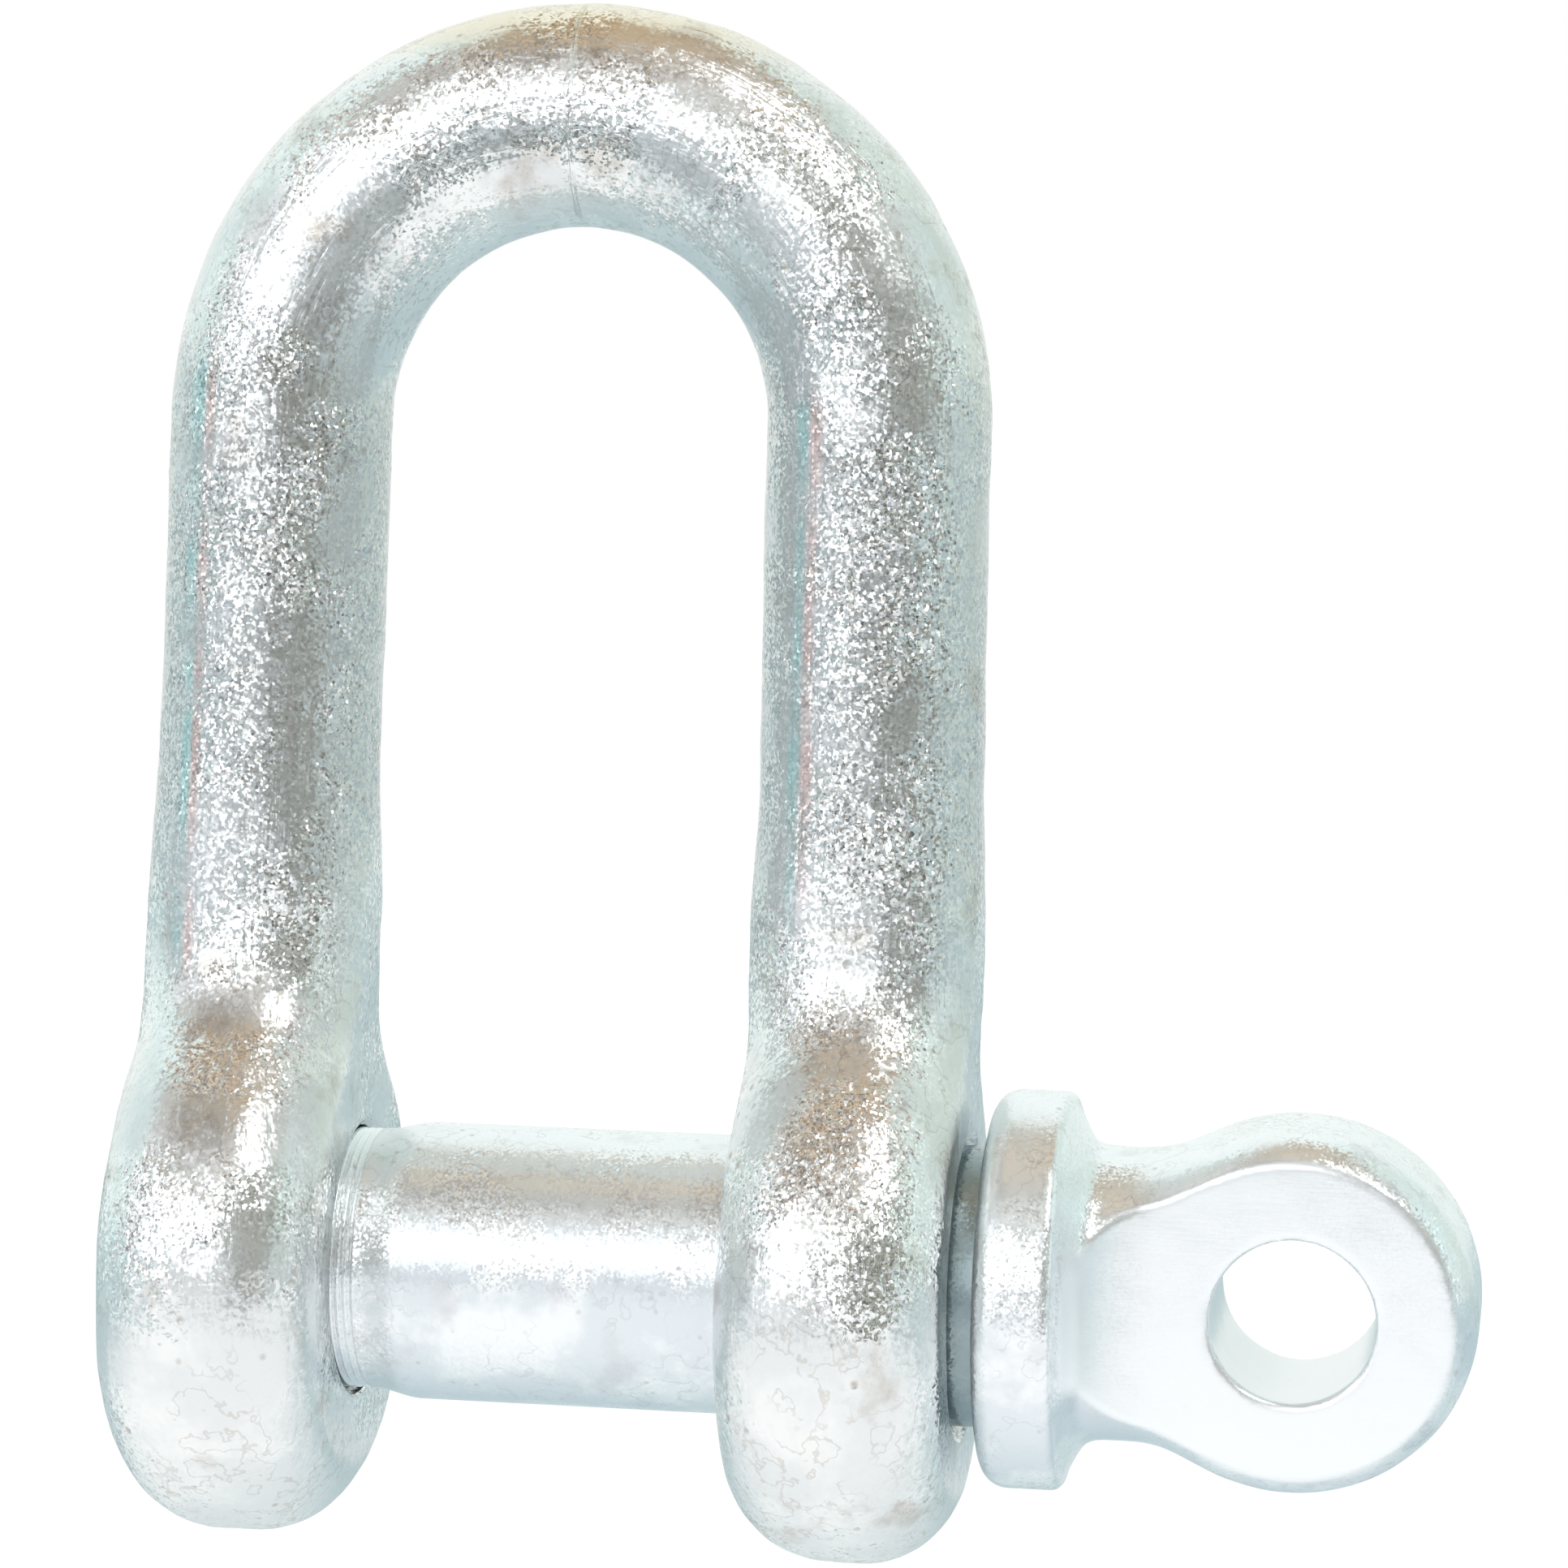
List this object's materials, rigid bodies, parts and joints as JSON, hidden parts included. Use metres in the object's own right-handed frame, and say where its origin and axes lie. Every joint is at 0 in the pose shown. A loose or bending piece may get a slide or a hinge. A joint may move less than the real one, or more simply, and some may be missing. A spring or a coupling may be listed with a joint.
{
  "type": "shackle",
  "caption": "Straight-sided D shackle: forged U body with round ears and a screw pin with collar and eye, drawn out along its axis.",
  "frame": {"origin": "centre of the pin's span between the two ears, on the pin's axis", "axes": "+X along the pin towards its eye, +Z from the pin to the crown, +Y completes the right-handed frame (the eye's flats face Y)"},
  "size_m": [0.0824, 0.0336, 0.0947],
  "materials": {
    "forged_zinc": "bright zinc plating on a rough forging, with lumps, pits, scratches and faint blue and ochre tints",
    "machined_zinc": "bright zinc plating on a turned and forged pin, with a fine grain and ground flats on the eye"
  },
  "bodies": {
    "shackle": {"shackle_body": "forged_zinc"},
    "pin": {"screw_pin": "machined_zinc"}
  },
  "joints": [
    {"name": "pin_draw", "type": "slide", "parent": "shackle", "child": "pin", "axis": [1, 0, 0], "range_m": [-0.00135, 0.052]}
  ]
}
